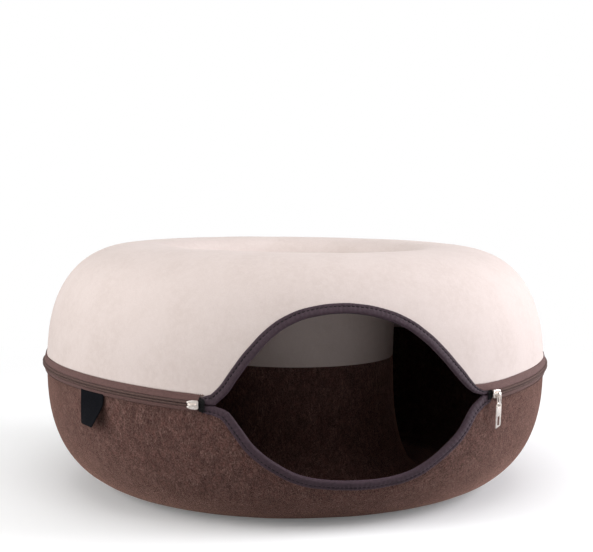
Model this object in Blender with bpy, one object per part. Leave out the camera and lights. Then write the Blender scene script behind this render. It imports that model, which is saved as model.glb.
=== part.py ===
"""Felt cat cave: a ring-shaped tunnel of moulded felt with a hole through its middle.

The upper and lower halves are moulded shells that meet at a zip round the outside and at a sewn seam
in the wall of the middle hole. The entrance is cut across the zip line and bound with folded tape.

Frame: +Z up, origin on the floor, centred under the whole; the entrance faces -Y. An azimuth is an
angle in degrees round the ring's axis, 0 at the middle of the entrance and growing towards +X. A height
is measured from the plane where the felt is widest.
"""

import bpy
import bmesh
from math import asin, atan2, copysign, cos, degrees, exp, hypot, pi, radians, sin
from mathutils import Vector

MM = 0.001

# ------------------------------------------------------------------ the ring's section
OUTER_RADIUS = 296 * MM     # felt at its widest
HOLE_RADIUS = 115 * MM      # narrowest part of the middle hole
CROWN_RADIUS = 180.5 * MM   # circle of the highest points
FOOT_RADIUS = 170 * MM      # middle of the flat ring that it stands on
CROWN_RISE = 143 * MM       # widest plane to the crown
FOOT_DROP = 137 * MM        # widest plane to the floor
FOOT_FLATTENING = 3 * MM    # what the foot would reach below the floor if it weren't flattened
UPPER_OUTER_POWER = 2.52    # superellipse powers of the section's four quarters
UPPER_INNER_POWER = 3.03
LOWER_OUTER_POWER = 2.44
LOWER_INNER_POWER = 2.5
FELT = 4 * MM
SEAM_HEIGHT = 10.4 * MM     # seam in the wall of the middle hole
CLEARANCE = 0.3 * MM        # between pieces that touch
AXIS_Y = -8 * MM            # the ring's axis; the entrance shortens the whole in front of it

# The crown leans: it is higher on one side, which a hand-moulded ring shows.
CROWN_LEAN = 2.2 * MM
CROWN_LEAN_AZIMUTH = -105.0

# ------------------------------------------------------------------ zip
ZIP_BACK_HEIGHT = 9.5 * MM      # middle of the zip behind
ZIP_SAG = 16.1 * MM             # how far it drops towards the entrance
ZIP_SAG_AZIMUTH = 0.5
ZIP_SAG_WIDTH = 53.0            # degrees
ZIP_END_AZIMUTH = 31.9          # the zip starts here, on either side
FLARE = 2.0 * MM                # the felt is turned out by this much at the zip
FLARE_HEIGHT = 10 * MM
FLARE_START = 3.0               # degrees from the entrance's corners until it is fully turned out
CHAIN_HALF = 2.6 * MM
CHAIN_DEPTH = 3.0 * MM
CHAIN_CHAMFER = 0.6 * MM
TAPE_START = 2.95 * MM          # from the middle of the zip to the near edge of a tape
UPPER_TAPE_END = 9.7 * MM
LOWER_TAPE_END = 6.9 * MM
TAPE_EDGE = 0.9 * MM            # thickness of a tape at its sewn edge
UPPER_TAPE_RIDGE = 1.3 * MM     # and beside the chain
LOWER_TAPE_RIDGE = 1.9 * MM
UPPER_TAPE_TIP = (28.3, 28.8, 30.2, 31.2)   # azimuths of the upper tape's folded right end

# ------------------------------------------------------------------ entrance
LIPS_LEFT, LIPS_RIGHT = -28.6, 28.2   # azimuths where the bindings meet
LIPS_GAP = 0.4 * MM
BINDING_ENDS = (-31.5, 30.5)
# Finished edge of the entrance: azimuth, height of the upper and of the lower edge in mm.
ENTRANCE = (
    # azimuth, upper, lower
    (-26.0, 10.5, -7.5),
    (-24.0, 25.0, -20.0),
    (-21.0, 46.0, -41.0),
    (-17.0, 67.5, -58.5),
    (-12.0, 82.0, -72.5),
    (-6.0, 88.0, -79.0),
    (0.0, 88.0, -80.8),
    (5.0, 82.8, -80.3),
    (10.0, 72.5, -76.5),
    (14.0, 57.2, -68.0),
    (18.0, 37.0, -54.0),
    (22.0, 15.5, -36.0),
    (25.0, 3.0, -14.5),
)
BINDING_LEG = 9 * MM            # width of the folded tape on each side of the felt
NARROWING = 26.0                # azimuth from which the upper binding's right end is folded narrower
NARROW_LEG = 2.2 * MM
BINDING_THICKNESS = 1.25 * MM
BINDING_GAP = 0.45 * MM         # inside the fold
BINDING_ROUNDING = 0.8 * MM     # of the fold's corners
FOLD = BINDING_GAP + BINDING_THICKNESS
EDGE_TO_ZIP = LIPS_GAP / 2 + FOLD   # felt edge above or below the middle of the zip
EDGE_STEP = 0.3                 # degrees, for directions along the edge

# ------------------------------------------------------------------ grid of the shells
ENTRANCE_HALF_COLUMNS = (0, 4, 8, 12, 15.5, 18.5, 21, 23, 24.7, 26.2, 27.6, 28.8, 30.2, ZIP_END_AZIMUTH)
BACK_COLUMNS = 40
EDGE_ROW = 10 * MM              # first row of the felt behind its edge
OUTER_ROWS = 9
INNER_ROWS = 6

# ------------------------------------------------------------------ metal parts, label and thread
SLIDER_LEFT, SLIDER_RIGHT = -32.6, 31.6
SLIDER_LENGTH = 12 * MM
SLIDER_HALF = 4.5 * MM
SLIDER_PLATE = 1.3 * MM
SLIDER_LIFT = 3.6 * MM          # underside of the plate above the felt
# One side of the plate's outline, from its closed end to the fork between its two prongs: shares of
# its half length and of its half width.
SLIDER_OUTLINE = ((-1.0, 0.87), (-0.83, 1.0), (0.25, 1.0), (1.0, 0.67), (1.0, 0.29), (0.57, 0.2))
FLANGE = 1.2 * MM
FLANGE_LIFT = 2.35 * MM
FLANGE_SPAN = (-0.8, 0.22)      # shares of the slider's half length
FLANGE_INSET = 0.05 * MM
SUNK = 0.5 * MM                 # what is joined to the plate starts this far inside it
BAIL_LENGTH = 7.4 * MM
BAIL_WIDTH = 1.8 * MM
BAIL_BAR = 1.0 * MM
BAIL_EYE = 1.8 * MM
BAIL_SHOULDER = 0.6             # share of the eye's height where the bail starts to arch
BAIL_ARCH = (0.7, 0.6)          # half length of the flat top outside and inside, as shares of the bail's
LINK_TOP = 2.1 * MM             # above the middle of the slider
LINK_LENGTH = 14.5 * MM
LINK_WIDTH = 3.6 * MM
LINK_WALL = 0.7 * MM
LINK_DEPTH = 3.1 * MM
LINK_SLOPE = 0.10               # it leans towards the felt
LINK_SLOT = 1.3 * MM
LINK_SLOT_LENGTH = 7 * MM
TAB_WIDTH = 8 * MM
TAB_LENGTH = 26.5 * MM
TAB_THICKNESS = 1.1 * MM
TAB_TOP_BAR = 1.3 * MM
TAB_EYE = 2.2 * MM
TAB_WINDOW_WIDTH = 3.4 * MM
TAB_WINDOW_LENGTH = 9.5 * MM
TAB_FOOT = 3 * MM               # below the window
TAB_SLANT = 2.6 * MM            # its right corner ends this much higher
TAB_SLOPE = 0.16
LABEL_LEFT, LABEL_RIGHT = -62.6, -54.9
LABEL_DROP = 35.5 * MM
LABEL_THICKNESS = 1.2 * MM
LABEL_LIFT = 0.6 * MM           # over the felt, where it is sewn on
LABEL_HANG = 0.5 * MM           # further out at its lower edge
LABEL_TWIST = 18.8              # degrees, its free lower edge is turned out
LABEL_CURL = 1.3                # power of the twist's growth downwards
LABEL_FREE = 0.67               # share of its drop below which it is flat
LABEL_CELLS = (4, 5)            # across and down
BARTACK_LEFT, BARTACK_RIGHT = (-31.3, -30.1), (29.4, 30.6)
BARTACK_HALF = 6.5 * MM
BARTACK_THICKNESS = 1.1 * MM


# ------------------------------------------------------------------ small helpers
def clamp(value):
    return max(0.0, min(1.0, value))


def smoothstep(value):
    value = clamp(value)
    return value * value * (3 - 2 * value)


def curve_through(knots, position):
    """Value at a position on the smooth curve through (position, value) knots."""
    last = len(knots) - 1
    index = 0
    while index < last - 1 and position > knots[index + 1][0]:
        index += 1

    def slope(knot):
        before, after = knots[max(knot - 1, 0)], knots[min(knot + 1, last)]
        return (after[1] - before[1]) / (after[0] - before[0])

    (start, low), (end, high) = knots[index], knots[index + 1]
    width = end - start
    part = clamp((position - start) / width)
    return ((1 + 2 * part) * (1 - part) ** 2 * low + part * (1 - part) ** 2 * width * slope(index)
            + part * part * (3 - 2 * part) * high - part * part * (1 - part) * width * slope(index + 1))


# ------------------------------------------------------------------ form of the ring
def quarter(turn):
    """Middle radius, side radius, rise and power of the section's quarter at an angle."""
    outer = cos(turn) >= 0
    side = OUTER_RADIUS if outer else HOLE_RADIUS
    if sin(turn) >= 0:
        return CROWN_RADIUS, side, CROWN_RISE, UPPER_OUTER_POWER if outer else UPPER_INNER_POWER
    power = LOWER_OUTER_POWER if outer else LOWER_INNER_POWER
    return FOOT_RADIUS, side, FOOT_DROP + FOOT_FLATTENING, power


def section_point(turn):
    """Radius and height at an angle round the section: 0 is widest, a quarter turn is the crown."""
    middle, side, rise, power = quarter(turn)
    radius = middle + (side - middle) * abs(cos(turn)) ** (2 / power)
    height = copysign(rise * abs(sin(turn)) ** (2 / power), sin(turn))
    return radius, max(height, -FOOT_DROP)


def section_normal(turn):
    """Outward direction (radial, up) of the section at an angle."""
    step = 0.002
    radius_before, height_before = section_point(turn - step)
    radius_after, height_after = section_point(turn + step)
    across, along = height_after - height_before, radius_before - radius_after
    length = hypot(across, along)
    return across / length, along / length


def turn_at(height):
    """Angle round the section of a height on the outer wall."""
    rise, power = quarter(copysign(0.1, height))[2:]
    return copysign(asin((abs(height) / rise) ** (power / 2)), height)


def lean(azimuth, height):
    """How far the leaning crown lifts a point."""
    return CROWN_LEAN * cos(radians(azimuth - CROWN_LEAN_AZIMUTH)) * clamp(height / CROWN_RISE)


def place(azimuth, radius, height):
    """Point at an azimuth, a radius and a height over the widest plane, from the foot of the axis."""
    angle = radians(azimuth)
    up = FOOT_DROP + height + lean(azimuth, height)
    return Vector((radius * sin(angle), -radius * cos(angle), up))


def zip_height(azimuth):
    """Height of the middle of the zip, which sags towards the entrance."""
    return ZIP_BACK_HEIGHT - ZIP_SAG * exp(-((azimuth - ZIP_SAG_AZIMUTH) / ZIP_SAG_WIDTH) ** 2)


def flare(azimuth, height):
    """How far the felt is turned out beside the zip."""
    away = (abs(height - zip_height(azimuth)) - EDGE_TO_ZIP) / FLARE_HEIGHT
    beyond_lips = (abs(azimuth) - LIPS_RIGHT) / FLARE_START
    return FLARE * (1 - clamp(away)) * smoothstep(beyond_lips)


def section_on(azimuth, turn, lift):
    """Point at a lift over the felt's outer face, from the angle round the section."""
    radius, height = section_point(turn)
    out, up = section_normal(turn)
    if cos(turn) > 0:
        radius += flare(azimuth, height)
    return place(azimuth, radius + out * lift, height + up * lift)


def on_wall(azimuth, height, lift=0.0):
    """Point at a lift over the outer wall, from a height."""
    return section_on(azimuth, turn_at(height), lift)


# ------------------------------------------------------------------ felt edges
def finished_edge(azimuth, side):
    """Height of the bound edge of the entrance; side is 1 for the upper edge and -1 for the lower."""
    column = 1 if side > 0 else 2
    knots = [(row[0], row[column] * MM) for row in ENTRANCE]
    for lips in (LIPS_LEFT, LIPS_RIGHT):
        knots.append((lips, zip_height(lips) + side * LIPS_GAP / 2))
    return curve_through(sorted(knots), azimuth)


def felt_edge(azimuth, side):
    """Height of the felt's cut edge, at the entrance or behind the zip."""
    if not LIPS_LEFT < azimuth < LIPS_RIGHT:
        return zip_height(azimuth) + side * EDGE_TO_ZIP
    rise = finished_edge(azimuth + EDGE_STEP, side) - finished_edge(azimuth - EDGE_STEP, side)
    slope = rise / (2 * radians(EDGE_STEP) * OUTER_RADIUS)
    return finished_edge(azimuth, side) + side * FOLD * hypot(1, slope)


# ------------------------------------------------------------------ meshes and objects
def material(name, colour, roughness, metallic=0.0):
    result = bpy.data.materials.new(name)
    result.use_nodes = True
    shader = result.node_tree.nodes["Principled BSDF"]
    shader.inputs["Base Color"].default_value = (*colour, 1)
    shader.inputs["Roughness"].default_value = roughness
    shader.inputs["Metallic"].default_value = metallic
    return result


def add_object(name, mesh_builder, finish, root):
    """Object from a bmesh, with outward triangles, smooth shading and one material."""
    bmesh.ops.recalc_face_normals(mesh_builder, faces=mesh_builder.faces)
    bmesh.ops.triangulate(mesh_builder, faces=mesh_builder.faces)
    mesh = bpy.data.meshes.new(name)
    mesh_builder.to_mesh(mesh)
    mesh_builder.free()
    mesh.shade_smooth()
    mesh.set_sharp_from_angle(angle=radians(40))
    mesh.materials.append(finish)
    result = bpy.data.objects.new(name, mesh)
    result.parent = root
    bpy.context.collection.objects.link(result)
    return result


def grid_faces(builder, rows, closed_rows=False, closed_columns=False):
    """Quads between rows of vertices of equal length."""
    row_pairs = len(rows) if closed_rows else len(rows) - 1
    count = len(rows[0])
    column_pairs = count if closed_columns else count - 1
    for row in range(row_pairs):
        near, far = rows[row], rows[(row + 1) % len(rows)]
        for column in range(column_pairs):
            after = (column + 1) % count
            builder.faces.new((near[column], near[after], far[after], far[column]))


def sweep(sections):
    """Closed solid through sections, each a ring of points, with flat ends."""
    builder = bmesh.new()
    rings = [[builder.verts.new(point) for point in section] for section in sections]
    grid_faces(builder, rings, closed_columns=True)
    builder.faces.new(rings[0])
    builder.faces.new(rings[-1])
    return builder


def plate(outline, low, high, at):
    """Closed solid of a flat outline between two lifts; at maps (x, y, lift) to a point."""
    return sweep([[at(x, y, lift) for x, y in outline] for lift in (low, high)])


def combine(target, part, operation):
    """Joins a part to a target, or cuts it from it, with a Boolean."""
    part.hide_render = True
    part.display_type = "WIRE"
    modifier = target.modifiers.new("with_" + part.name, "BOOLEAN")
    modifier.operation = operation
    modifier.object = part


# ------------------------------------------------------------------ shells
def columns():
    """Azimuths of the shells' grid lines, close together round the entrance."""
    front = sorted({side * azimuth for azimuth in ENTRANCE_HALF_COLUMNS for side in (-1, 1)})
    span = 360 - 2 * ZIP_END_AZIMUTH
    back = [ZIP_END_AZIMUTH + span * index / BACK_COLUMNS for index in range(1, BACK_COLUMNS)]
    return front + back


def wrap(azimuth):
    return azimuth - 360 if azimuth > 180 else azimuth


def shell_turns(azimuth, side):
    """Angles round the section of a shell's rows, from its outer edge to the inner seam."""
    edge = felt_edge(azimuth, side)
    pole = side * pi / 2
    first = turn_at(edge + side * EDGE_ROW)
    outer = [first + (pole - first) * index / OUTER_ROWS for index in range(OUTER_ROWS + 1)]
    rise = asin((SEAM_HEIGHT / CROWN_RISE) ** (UPPER_INNER_POWER / 2))
    seam = pi - rise if side > 0 else -pi - rise
    inner = [pole + (seam - pole) * index / INNER_ROWS for index in range(1, INNER_ROWS + 1)]
    return [turn_at(edge)] + outer + inner


def shell(side):
    """Moulded half of the ring, 4 mm thick, open at its outer edge and at the inner seam."""
    builder = bmesh.new()
    faces_of_felt = []
    for lift in (0.0, -FELT):
        lines = []
        for azimuth in map(wrap, columns()):
            points = [section_on(azimuth, turn, lift) for turn in shell_turns(azimuth, side)]
            points[-1].z = FOOT_DROP + SEAM_HEIGHT + lean(azimuth, SEAM_HEIGHT) + side * CLEARANCE / 2
            lines.append([builder.verts.new(point) for point in points])
        grid_faces(builder, lines, closed_rows=True)
        faces_of_felt.append(lines)
    outside, inside = faces_of_felt
    for row in (0, -1):
        rims = [[line[row] for line in outside], [line[row] for line in inside]]
        grid_faces(builder, rims, closed_columns=True)
    return builder


# ------------------------------------------------------------------ bindings
def binding_leg(azimuth, side):
    """Width of the folded tape; the upper one is folded narrower at its right end."""
    if side < 0:
        return BINDING_LEG
    narrow = clamp((azimuth - NARROWING) / (BINDING_ENDS[1] - NARROWING))
    return BINDING_LEG + (NARROW_LEG - BINDING_LEG) * narrow


def binding_section(leg):
    """Folded tape across the felt's edge: (distance behind the edge, lift) in order round the tape."""
    near, back = BINDING_GAP, -FELT
    round_off = BINDING_ROUNDING
    front = [(leg, FOLD), (leg / 2, FOLD), (0.0, FOLD), (-0.75 * FOLD, 0.45 * FOLD), (-FOLD, -round_off)]
    behind = [(distance, back - lift) for distance, lift in reversed(front)]
    inside = [(leg, back - near), (leg / 2, back - near), (-near, back - near),
              (-near, near), (leg / 2, near), (leg, near)]
    return front + behind + inside


def binding(side):
    """Tape folded over the felt's edge round one half of the entrance, ending beyond its corners."""
    first, last = BINDING_ENDS
    stations = [first] + [azimuth for azimuth in columns() if first < azimuth < last] + [last]
    sections = []
    for azimuth in stations:
        edge = felt_edge(azimuth, side)
        here = on_wall(azimuth, edge)
        before, after = (on_wall(azimuth + step, felt_edge(azimuth + step, side))
                         for step in (-EDGE_STEP, EDGE_STEP))
        along = (after - before).normalized()
        outward = (on_wall(azimuth, edge, MM) - here).normalized()
        into_felt = side * outward.cross(along).normalized()
        section = []
        for distance, lift in binding_section(binding_leg(azimuth, side)):
            point = here + into_felt * distance
            height = point.z - FOOT_DROP
            height -= lean(azimuth, height)
            section.append(on_wall(degrees(atan2(point.x, -point.y)), height, lift))
        sections.append(section)
    return sweep(sections)


# ------------------------------------------------------------------ zip
def zip_strip(section, tip=()):
    """Strip along the zip, from the entrance's right corner round the back to its left corner.

    The section maps an azimuth to (height over the zip's middle, lift) points; the tip adds azimuths
    before the right corner.
    """
    stations = list(tip) + [azimuth for azimuth in columns() if azimuth >= ZIP_END_AZIMUTH]
    stations.append(360 - ZIP_END_AZIMUTH)
    sections = []
    for azimuth in map(wrap, stations):
        middle = zip_height(azimuth)
        sections.append([on_wall(azimuth, middle + height, lift) for height, lift in section(azimuth)])
    return sweep(sections)


def tape_start(azimuth):
    """Near edge of the upper tape, whose right end is folded up past the binding."""
    if not 0 < azimuth < ZIP_END_AZIMUTH:
        return TAPE_START
    return felt_edge(azimuth, 1) - zip_height(azimuth) + binding_leg(azimuth, 1) + 2 * BINDING_GAP


def tape_section(side, start, end, ridge):
    """Tape from beside the chain to its sewn edge, thicker at the chain."""
    middle = (start + end) / 2
    return [(side * start, CLEARANCE), (side * middle, CLEARANCE), (side * end, CLEARANCE),
            (side * end, CLEARANCE + TAPE_EDGE), (side * middle, CLEARANCE + (TAPE_EDGE + ridge) / 2),
            (side * start, CLEARANCE + ridge)]


def upper_tape_section(azimuth):
    return tape_section(1, tape_start(azimuth), UPPER_TAPE_END, UPPER_TAPE_RIDGE)


def lower_tape_section(_azimuth):
    return tape_section(-1, TAPE_START, LOWER_TAPE_END, LOWER_TAPE_RIDGE)


def chain_section(_azimuth):
    """Both rows of teeth with the tapes' folds over them, as one chamfered bar."""
    low, high = CLEARANCE, CLEARANCE + CHAIN_DEPTH
    flat = CHAIN_HALF - CHAIN_CHAMFER
    return [(-CHAIN_HALF, low), (CHAIN_HALF, low), (CHAIN_HALF, high - CHAIN_CHAMFER),
            (flat, high), (-flat, high), (-CHAIN_HALF, high - CHAIN_CHAMFER)]


# ------------------------------------------------------------------ sliders and pull
def slider_frame(middle):
    """Maps (x away from the entrance, y up, lift) at a slider to a point, from the slider's azimuth."""
    def at(x, y, lift):
        azimuth = middle + copysign(degrees(x / OUTER_RADIUS), x * middle)
        return place(azimuth, OUTER_RADIUS + FLARE + lift, zip_height(middle) + y)
    return at


def slider(name, azimuth, finish, root):
    """Zip slider: a plate with two prongs, a flange down each side and a bail across its top."""
    at = slider_frame(azimuth)
    half = SLIDER_LENGTH / 2
    top = SLIDER_LIFT + SLIDER_PLATE
    lower_side = [(along * half, -across * SLIDER_HALF) for along, across in SLIDER_OUTLINE]
    upper_side = [(x, -y) for x, y in reversed(lower_side)]
    body = add_object(name, plate(lower_side + upper_side, SLIDER_LIFT, top, at), finish, root)
    start, end = (share * half for share in FLANGE_SPAN)
    for number, sign in enumerate((-1, 1)):
        low, high = sign * (SLIDER_HALF - FLANGE), sign * (SLIDER_HALF - FLANGE_INSET)
        box = [(start, low), (end, low), (end, high), (start, high)]
        flange = plate(box, FLANGE_LIFT, top - SUNK, at)
        combine(body, add_object(f"{name}_flange_{number}", flange, finish, root), "UNION")
    combine(body, add_object(name + "_bail", bail(at, top), finish, root), "UNION")
    return body


def bail(at, top):
    """Arched bar along the slider, with an eye under it."""
    half, inner = BAIL_LENGTH / 2, BAIL_LENGTH / 2 - BAIL_BAR
    foot, shoulder, ceiling = top - SUNK, top + BAIL_SHOULDER * BAIL_EYE, top + BAIL_EYE
    arch_outside, arch_inside = (share * half for share in BAIL_ARCH)
    right_side = [(arch_outside, arch_inside, ceiling + BAIL_BAR, ceiling),
                  (half, inner, shoulder, shoulder), (half, inner, foot, foot)]
    left_side = [(-outer_x, -inner_x, *lifts) for outer_x, inner_x, *lifts in reversed(right_side)]
    path = left_side + right_side
    width = BAIL_WIDTH / 2
    sections = []
    for outer_x, inner_x, outer_lift, inner_lift in path:
        sections.append([at(outer_x, -width, outer_lift), at(outer_x, width, outer_lift),
                         at(inner_x, width, inner_lift), at(inner_x, -width, inner_lift)])
    return sweep(sections)


def link_lift(y):
    """Lift of the link's middle, which hangs round the bail's bar and leans towards the felt."""
    return SLIDER_LIFT + SLIDER_PLATE + BAIL_EYE + BAIL_BAR / 2 + LINK_SLOPE * y


def tab_lift(y):
    """Lift of the tab's middle, which hangs in the lower end of the link."""
    link_end = LINK_TOP - LINK_LENGTH + LINK_WALL
    return link_lift(link_end) + TAB_SLOPE * (y - link_end)


def stadium(length, depth, steps=4):
    """Outline (y, z) of a slot with round ends, centred."""
    radius = depth / 2
    points = []
    for end in (1, -1):
        for step in range(steps + 1):
            angle = pi * (step / steps - 0.5) + (0 if end > 0 else pi)
            points.append((end * (length / 2 - radius) + radius * cos(angle), radius * sin(angle)))
    return points


def pull_link(at, finish, root):
    """Link that holds the bail and the tab: a loop of strip round both, with a slot in its face."""
    outer = stadium(LINK_LENGTH, LINK_DEPTH)
    inner = stadium(LINK_LENGTH - 2 * LINK_WALL, LINK_DEPTH - 2 * LINK_WALL)
    middle = LINK_TOP - LINK_LENGTH / 2
    half = LINK_WIDTH / 2
    builder = bmesh.new()
    loops = []
    for x, outline in ((-half, outer), (half, outer), (half, inner), (-half, inner)):
        loops.append([builder.verts.new(at(x, middle + y, link_lift(middle + y) + z)) for y, z in outline])
    grid_faces(builder, loops, closed_rows=True, closed_columns=True)
    link = add_object("pull_link", builder, finish, root)
    high, low = middle + LINK_SLOT_LENGTH / 2, middle - LINK_SLOT_LENGTH / 2
    side = LINK_SLOT / 2
    slot = plate([(-side, low), (side, low), (side, high), (-side, high)],
                 link_lift(middle) - LINK_DEPTH, link_lift(middle) + LINK_DEPTH, at)
    combine(link, add_object("pull_link_slot", slot, finish, root), "DIFFERENCE")


def pierced_plate(rows, holes, thickness, at):
    """Plate through rows of (x, y) points, with some of their cells left open."""
    builder = bmesh.new()
    layers = []
    for offset in (-thickness / 2, thickness / 2):
        layers.append([[builder.verts.new(at(x, y, offset)) for x, y in row] for row in rows])
    sides = {}
    for row in range(len(rows) - 1):
        for column in range(len(rows[0]) - 1):
            if (row, column) in holes:
                continue
            corners = [(row, column), (row, column + 1), (row + 1, column + 1), (row + 1, column)]
            for layer in layers:
                builder.faces.new([layer[line][spot] for line, spot in corners])
            for pair in zip(corners, corners[1:] + corners[:1]):
                sides.setdefault(frozenset(pair), []).append(pair)
    for pairs in sides.values():
        if len(pairs) == 1:
            start, end = pairs[0]
            builder.faces.new([layers[layer][line][spot] for layer, (line, spot)
                               in ((0, start), (0, end), (1, end), (1, start))])
    return builder


def pull_tab(at):
    """Tab with an eye for the link and a window in its lower half; its lower edge is slanted."""
    bar_bottom = LINK_TOP - LINK_LENGTH + LINK_WALL + 2 * CLEARANCE
    top = bar_bottom + TAB_TOP_BAR
    bottom = top - TAB_LENGTH
    window = bottom + TAB_FOOT
    half, eye, slit = TAB_WIDTH / 2, LINK_WIDTH / 2 + CLEARANCE, TAB_WINDOW_WIDTH / 2
    levels = ((top, eye), (bar_bottom, eye), (bar_bottom - TAB_EYE, eye),
              (window + TAB_WINDOW_LENGTH, slit), (window, slit))
    rows = [[(x, height) for x in (-half, -opening, opening, half)] for height, opening in levels]
    slant = zip((-half, -slit, slit, half), (0, 0, 0.5 * TAB_SLANT, TAB_SLANT))
    rows.append([(x, bottom + rise) for x, rise in slant])
    return pierced_plate(rows, {(1, 1), (3, 1)}, TAB_THICKNESS,
                         lambda x, y, offset: at(x, y, tab_lift(y) + offset))


# ------------------------------------------------------------------ label and thread
def label():
    """Folded ribbon that hangs from the lower tape; its free end is twisted out."""
    def top_of(azimuth):
        return zip_height(azimuth) - LOWER_TAPE_END - CLEARANCE

    columns_across, rows_down = LABEL_CELLS
    chord = on_wall(LABEL_RIGHT, 0) - on_wall(LABEL_LEFT, 0)
    width = chord.length
    heading = atan2(chord.y, chord.x)
    builder = bmesh.new()
    layers = []
    for layer in (0, 1):
        lines = []
        for row in range(rows_down + 1):
            down = row / rows_down
            left = on_wall(LABEL_LEFT, top_of(LABEL_LEFT), LABEL_LIFT + LABEL_HANG * down)
            left.z -= LABEL_DROP * down
            angle = heading - radians(LABEL_TWIST) * down ** LABEL_CURL
            across = Vector((cos(angle), sin(angle), 0))
            outward = Vector((sin(angle), -cos(angle), 0))
            line = []
            for column in range(columns_across + 1):
                part = column / columns_across
                azimuth = LABEL_LEFT + (LABEL_RIGHT - LABEL_LEFT) * part
                hanging = on_wall(azimuth, top_of(azimuth), LABEL_LIFT)
                hanging.z -= LABEL_DROP * down
                free = left + across * (width * part)
                free.z = hanging.z
                point = hanging.lerp(free, smoothstep(down / LABEL_FREE))
                point += outward * (layer * LABEL_THICKNESS)
                line.append(builder.verts.new(point))
            lines.append(line)
        grid_faces(builder, lines)
        layers.append(lines)
    inner, outer = layers
    loop = [(0, column) for column in range(columns_across)]
    loop += [(row, columns_across) for row in range(rows_down)]
    loop += [(rows_down, column) for column in range(columns_across, 0, -1)]
    loop += [(row, 0) for row in range(rows_down, 0, -1)]
    rims = [[layer[row][column] for row, column in loop] for layer in (inner, outer)]
    grid_faces(builder, rims, closed_columns=True)
    return builder


def bartack(start, end):
    """Thread wound over the ends of both bindings, between two azimuths."""
    low = FOLD + CLEARANCE
    high = low + BARTACK_THICKNESS
    sections = []
    for azimuth in (start, (start + end) / 2, end):
        middle = zip_height(azimuth)
        heights = (-BARTACK_HALF, -BARTACK_HALF / 2, 0, BARTACK_HALF / 2, BARTACK_HALF)
        inner = [on_wall(azimuth, middle + height, low) for height in heights]
        outer = [on_wall(azimuth, middle + height, high) for height in reversed(heights)]
        sections.append(inner + outer)
    return sweep(sections)


# ------------------------------------------------------------------ the whole thing
def build():
    for existing in list(bpy.data.objects):
        bpy.data.objects.remove(existing)
    root = bpy.data.objects.new("cat_cave", None)
    root.location.y = AXIS_Y
    bpy.context.collection.objects.link(root)

    cream = material("cream_felt", (0.72, 0.63, 0.58), 0.95)
    brown = material("brown_felt", (0.10, 0.062, 0.05), 0.95)
    tape = material("binding_tape", (0.055, 0.045, 0.055), 0.75)
    zip_brown = material("zip_tape", (0.11, 0.06, 0.055), 0.7)
    coil = material("zip_coil", (0.085, 0.06, 0.05), 0.5)
    metal = material("slider_metal", (0.82, 0.78, 0.75), 0.25, 1.0)
    black = material("black_ribbon", (0.012, 0.013, 0.017), 0.6)

    add_object("upper_shell", shell(1), cream, root)
    add_object("lower_shell", shell(-1), brown, root)
    add_object("binding_upper", binding(1), tape, root)
    add_object("binding_lower", binding(-1), tape, root)
    add_object("zip_tape_upper", zip_strip(upper_tape_section, UPPER_TAPE_TIP), zip_brown, root)
    add_object("zip_tape_lower", zip_strip(lower_tape_section), zip_brown, root)
    add_object("zip_chain", zip_strip(chain_section), coil, root)
    slider("slider_left", SLIDER_LEFT, metal, root)
    slider("slider_right", SLIDER_RIGHT, metal, root)
    at = slider_frame(SLIDER_RIGHT)
    pull_link(at, metal, root)
    add_object("pull_tab", pull_tab(at), metal, root)
    add_object("bartack_left", bartack(*BARTACK_LEFT), black, root)
    add_object("bartack_right", bartack(*BARTACK_RIGHT), black, root)
    add_object("label", label(), black, root)


build()
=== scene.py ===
"""Looks of the felt cat cave: moulded felt, tape, zip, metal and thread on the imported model."""
from math import atan, cos, pi, radians, sin

import bmesh
import bpy
import numpy as np
from mathutils import Matrix, Vector

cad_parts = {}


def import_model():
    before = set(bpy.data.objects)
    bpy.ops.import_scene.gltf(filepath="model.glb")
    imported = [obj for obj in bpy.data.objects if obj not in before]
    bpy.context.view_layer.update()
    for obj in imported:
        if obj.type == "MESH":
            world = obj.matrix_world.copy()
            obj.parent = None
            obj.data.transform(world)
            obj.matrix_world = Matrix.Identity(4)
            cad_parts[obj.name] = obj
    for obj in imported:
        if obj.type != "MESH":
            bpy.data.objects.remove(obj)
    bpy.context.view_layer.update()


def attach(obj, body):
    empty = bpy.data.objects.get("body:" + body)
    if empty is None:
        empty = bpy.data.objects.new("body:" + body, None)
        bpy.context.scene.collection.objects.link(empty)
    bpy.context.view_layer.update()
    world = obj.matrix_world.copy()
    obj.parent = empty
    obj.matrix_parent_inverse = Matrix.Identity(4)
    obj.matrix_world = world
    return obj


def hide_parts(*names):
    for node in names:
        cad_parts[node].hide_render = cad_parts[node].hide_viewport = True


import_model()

MM = 0.001


def mm(*values):
    return [value * MM for value in values]


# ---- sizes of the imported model
# Azimuths are in degrees, 0 at the entrance and positive to its right. Heights count from the
# middle of the ring's section, FOOT_DROP above the floor.
OUTER_RADIUS, HOLE_RADIUS, CROWN_RADIUS, FOOT_RADIUS = mm(296, 115, 180.5, 170)
CROWN_RISE, FOOT_DROP, FOOT_FLATTENING, AXIS_Y = mm(143, 137, 3, -8)
UPPER_OUTER_POWER, UPPER_INNER_POWER = 2.52, 3.03
LOWER_OUTER_POWER, LOWER_INNER_POWER = 2.44, 2.5
FELT, SEAM_HEIGHT, CROWN_LEAN = mm(4, 10.4, 2.2)
ZIP_BACK_HEIGHT, ZIP_SAG, FLARE, FLARE_HEIGHT = mm(9.5, 16.1, 2, 10)
CROWN_LEAN_AZIMUTH, ZIP_END_AZIMUTH, FLARE_START = -105, 31.9, 3
ZIP_SAG_AZIMUTH, ZIP_SAG_WIDTH = 0.5, 53
CHAIN_HALF, CHAIN_DEPTH, TAPE_START, UPPER_TAPE_END, LOWER_TAPE_END = mm(2.6, 3, 2.95, 9.7, 6.9)
LIPS_LEFT, LIPS_RIGHT, LIPS_GAP = -28.6, 28.2, 0.4 * MM
BINDING_ENDS = (-31.5, 30.5)
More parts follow.
